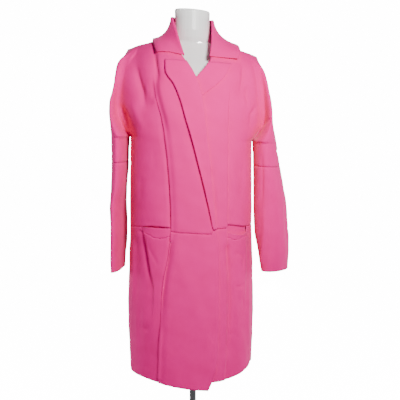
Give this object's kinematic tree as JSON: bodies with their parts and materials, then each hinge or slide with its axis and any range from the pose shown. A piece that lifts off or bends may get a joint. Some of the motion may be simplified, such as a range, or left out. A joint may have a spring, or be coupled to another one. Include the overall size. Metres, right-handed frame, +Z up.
{
  "type": "cardigan on a dress form",
  "caption": "Long knit cardigan with a notched collar, wrapped front, pressed pleats, waist-seam pockets and long sleeves, on a limbless dress form with a pole and round base.",
  "frame": {"origin": "on the floor, at the middle of the base's underside, on the pole's axis", "axes": "+Z up, the garment's front faces -Y, the wearer's left is towards +X"},
  "size_m": [0.5077, 0.34, 1.469],
  "materials": {
    "pink_knit": "fine smooth knit",
    "white_form": "gloss",
    "steel": "brushed"
  },
  "bodies": {
    "root": {"back": "pink_knit", "front_right": "pink_knit", "front_left": "pink_knit", "skirt_right": "pink_knit", "skirt_left": "pink_knit", "sleeve_right": "pink_knit", "sleeve_left": "pink_knit", "collar": "pink_knit", "pocket_band_right": "pink_knit", "pocket_band_left": "pink_knit", "pocket_back_right": "pink_knit", "pocket_back_left": "pink_knit", "dress_form": "white_form", "stand_pole": "steel", "stand_base": "steel"}
  },
  "joints": []
}
